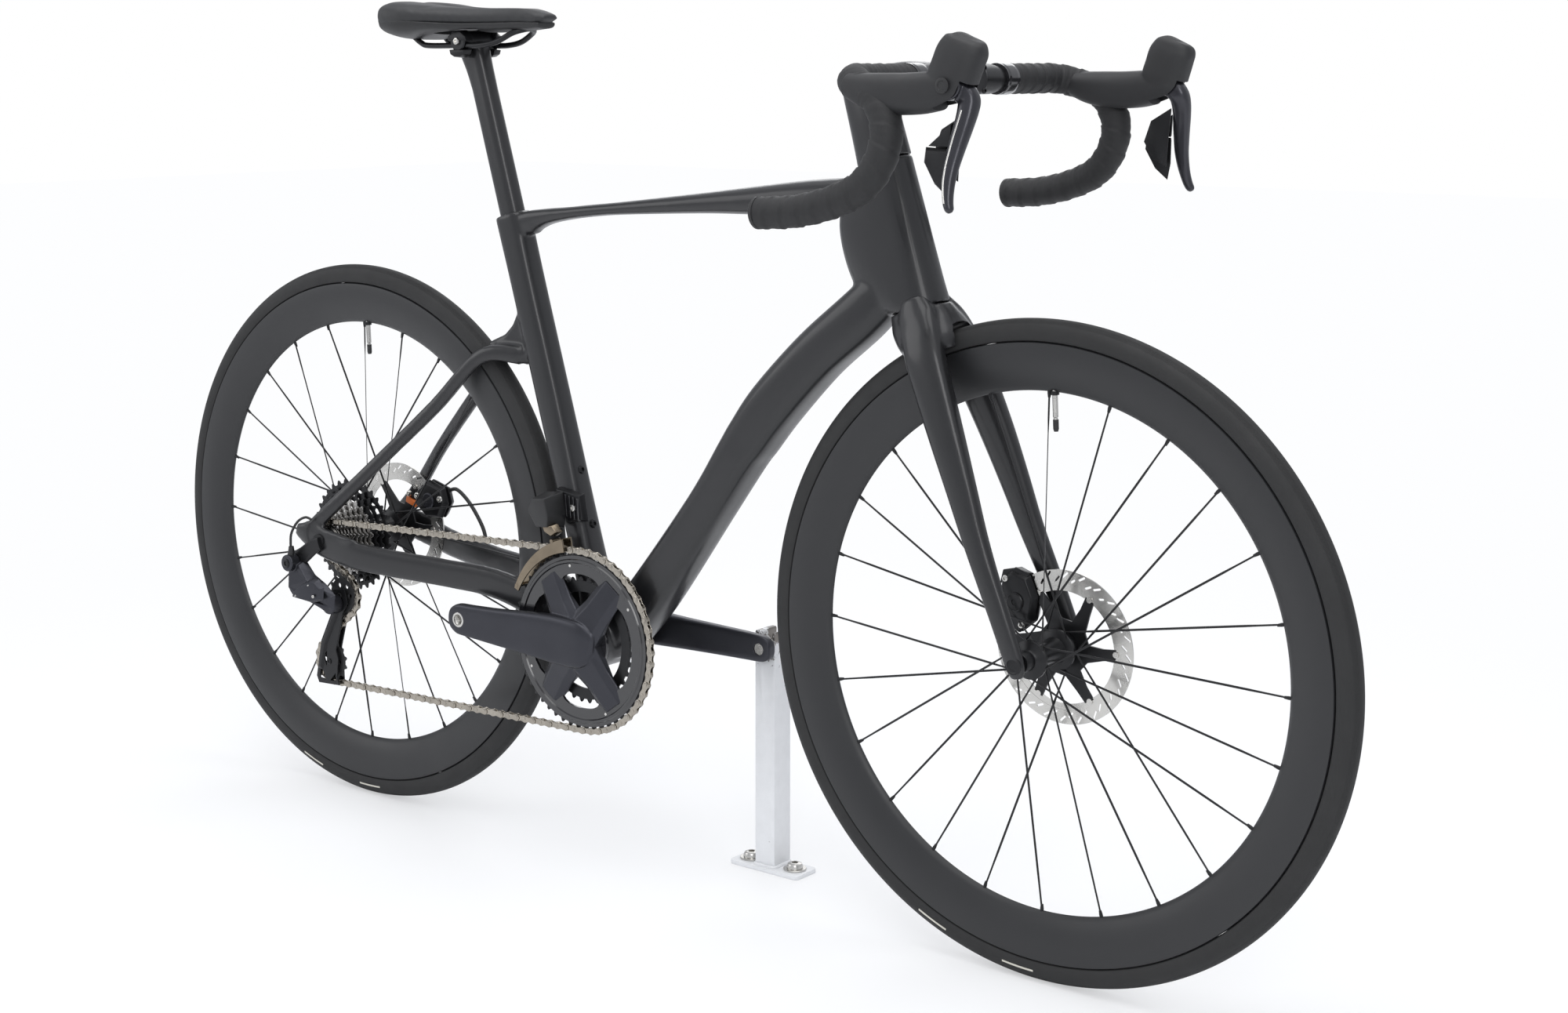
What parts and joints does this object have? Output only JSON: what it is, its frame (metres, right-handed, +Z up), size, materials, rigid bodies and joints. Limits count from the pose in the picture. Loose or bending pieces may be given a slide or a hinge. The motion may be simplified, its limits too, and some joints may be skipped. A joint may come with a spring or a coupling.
{
  "type": "road bicycle on a floor stand",
  "caption": "Road bicycle with disc brakes and a drop handlebar, held upright by a floor post whose notch carries the pedal eye of its left crank.",
  "frame": {"origin": "on the floor, midway between the two wheels, in the bicycle's middle plane", "axes": "+X forward, +Y to the rider's left, +Z up"},
  "size_m": [1.682, 0.4778, 1.0033],
  "materials": {
    "satin_frame_finish": "satin black paint on moulded composite",
    "rim_composite": "satin black moulded composite",
    "tyre_rubber": "matte black, lightly treaded",
    "hood_rubber": "matte black moulded rubber",
    "bar_wrap": "matte black wrapped tape",
    "grey_alloy": "dark grey anodised, satin",
    "lever_alloy": "dark metallic paint",
    "black_plastic": "matte black",
    "black_alloy": "black anodised",
    "bright_steel": "bright, lightly oiled",
    "cog_metal": "bright sprockets with dark large ones",
    "spoke_metal": "black",
    "saddle_skin": "smooth dark grey cover over foam",
    "white_steel": "white paint, chipped at the top"
  },
  "bodies": {
    "frame": {"head_tube": "satin_frame_finish", "top_tube": "satin_frame_finish", "down_tube": "satin_frame_finish", "seat_tube": "satin_frame_finish", "bottom_bracket_shell": "satin_frame_finish", "chainstay_right": "satin_frame_finish", "chainstay_left": "satin_frame_finish", "seatstay_right": "satin_frame_finish", "seatstay_left": "satin_frame_finish", "headset_bearing_upper": "bright_steel", "headset_bearing_lower": "bright_steel", "bottom_bracket_bearing_right": "black_alloy", "bottom_bracket_bearing_left": "black_alloy", "rear_thru_axle": "black_alloy", "derailleur_hanger": "black_alloy", "rear_derailleur_body": "grey_alloy", "rear_derailleur_cage": "black_plastic", "rear_derailleur_wire": "black_plastic", "rear_brake_caliper": "black_alloy", "chain": "bright_steel", "front_derailleur_body": "black_plastic", "stand_post": "white_steel", "stand_base_plate": "white_steel"},
    "steering": {"fork": "satin_frame_finish", "stem": "satin_frame_finish", "handlebar": "satin_frame_finish", "bar_tape_right": "bar_wrap", "bar_tape_left": "bar_wrap", "hood_right": "hood_rubber", "hood_left": "hood_rubber", "front_thru_axle": "black_alloy", "front_brake_caliper": "black_alloy"},
    "front_wheel": {"front_tyre": "tyre_rubber", "front_rim": "rim_composite", "front_hub_and_spokes": "spoke_metal", "front_brake_rotor": "bright_steel"},
    "rear_wheel": {"rear_tyre": "tyre_rubber", "rear_rim": "rim_composite", "rear_hub_and_spokes": "spoke_metal", "rear_brake_rotor": "bright_steel"},
    "crankset": {"crank_arm_right": "grey_alloy", "crank_arm_left": "grey_alloy", "chainring_outer": "grey_alloy", "chainring_inner": "black_alloy", "pedal_eye_stud": "bright_steel"},
    "cassette_unit": {"cassette": "cog_metal"},
    "guide_wheel": {"guide_pulley": "black_plastic"},
    "tension_wheel": {"tension_pulley": "black_plastic"},
    "front_derailleur_slider": {"front_derailleur_cage": "bright_steel"},
    "right_lever": {"brake_lever_right": "lever_alloy"},
    "left_lever": {"brake_lever_left": "lever_alloy"},
    "right_upper_button": {"shift_button_upper_right": "black_plastic"},
    "right_lower_button": {"shift_button_lower_right": "black_plastic"},
    "left_upper_button": {"shift_button_upper_left": "black_plastic"},
    "left_lower_button": {"shift_button_lower_left": "black_plastic"},
    "seat_mast": {"seatpost": "satin_frame_finish"},
    "clamp_barrel": {"saddle_clamp": "black_alloy"},
    "saddle": {"saddle_rails": "black_alloy", "saddle_shell": "black_plastic", "saddle_cover": "saddle_skin"}
  },
  "joints": [
    {"name": "steering_turn", "type": "hinge", "parent": "frame", "child": "steering", "pos_m": [0.45605, 0, 0.32626], "axis": [-0.2924, 0, 0.9563], "range_deg": [-60, 60]},
    {"name": "front_wheel_spin", "type": "hinge", "parent": "steering", "child": "front_wheel", "pos_m": [0.501, 0, 0.34], "axis": [0, 1, 0], "continuous": true},
    {"name": "rear_wheel_spin", "type": "hinge", "parent": "frame", "child": "rear_wheel", "pos_m": [-0.501, 0, 0.34], "axis": [0, 1, 0], "continuous": true},
    {"name": "crank_turn", "type": "hinge", "parent": "frame", "child": "crankset", "pos_m": [-0.091, 0, 0.27], "axis": [0, -1, 0], "range_deg": [0, 325.38]},
    {"name": "cassette_turn", "type": "hinge", "parent": "frame", "child": "cassette_unit", "pos_m": [-0.501, 0, 0.34], "axis": [0, -1, 0], "range_deg": [0, 1540]},
    {"name": "guide_pulley_turn", "type": "hinge", "parent": "frame", "child": "guide_wheel", "pos_m": [-0.478, 0, 0.272], "axis": [0, -1, 0], "range_deg": [-1303, 0]},
    {"name": "tension_pulley_turn", "type": "hinge", "parent": "frame", "child": "tension_wheel", "pos_m": [-0.5, 0, 0.185], "axis": [0, -1, 0], "range_deg": [0, 1303]},
    {"name": "front_derailleur_trim", "type": "slide", "parent": "frame", "child": "front_derailleur_slider", "axis": [0, 1, 0], "range_m": [-0.002, 0.0008]},
    {"name": "right_brake_pull", "type": "hinge", "parent": "steering", "child": "right_lever", "pos_m": [0.51595, -0.202, 0.91134], "axis": [0, 1, 0], "range_deg": [0, 20], "stiffness_Nm_per_rad": 2, "springref_deg": -11.46},
    {"name": "right_upper_button_press", "type": "hinge", "parent": "right_lever", "child": "right_upper_button", "pos_m": [0.51795, -0.2065, 0.86734], "axis": [0, 0, -1], "range_deg": [0, 6], "stiffness_Nm_per_rad": 0.2, "springref_deg": -5.73},
    {"name": "right_lower_button_press", "type": "hinge", "parent": "right_lever", "child": "right_lower_button", "pos_m": [0.51795, -0.2085, 0.83534], "axis": [0, 0, -1], "range_deg": [0, 6], "stiffness_Nm_per_rad": 0.2, "springref_deg": -5.73},
    {"name": "left_brake_pull", "type": "hinge", "parent": "steering", "child": "left_lever", "pos_m": [0.51595, 0.202, 0.91134], "axis": [0, 1, 0], "range_deg": [0, 20], "stiffness_Nm_per_rad": 2, "springref_deg": -11.46},
    {"name": "left_upper_button_press", "type": "hinge", "parent": "left_lever", "child": "left_upper_button", "pos_m": [0.51795, 0.2065, 0.86734], "axis": [0, 0, 1], "range_deg": [0, 6], "stiffness_Nm_per_rad": 0.2, "springref_deg": -5.73},
    {"name": "left_lower_button_press", "type": "hinge", "parent": "left_lever", "child": "left_lower_button", "pos_m": [0.51795, 0.2085, 0.83534], "axis": [0, 0, 1], "range_deg": [0, 6], "stiffness_Nm_per_rad": 0.2, "springref_deg": -5.73},
    {"name": "seatpost_height", "type": "slide", "parent": "frame", "child": "seat_mast", "axis": [-0.2847, 0, 0.9586], "range_m": [-0.05, 0.03]},
    {"name": "saddle_tilt", "type": "hinge", "parent": "seat_mast", "child": "clamp_barrel", "pos_m": [-0.298, 0, 0.957], "axis": [0, 1, 0], "range_deg": [-4, 4]},
    {"name": "saddle_fore_aft", "type": "slide", "parent": "clamp_barrel", "child": "saddle", "axis": [1, 0, 0], "range_m": [-0.01, 0.01]}
  ],
  "couplings": [
    {"joint": "cassette_turn", "follows": "crank_turn", "ratio": 4.7273},
    {"joint": "guide_pulley_turn", "follows": "crank_turn", "ratio": -4},
    {"joint": "tension_pulley_turn", "follows": "crank_turn", "ratio": 4}
  ]
}
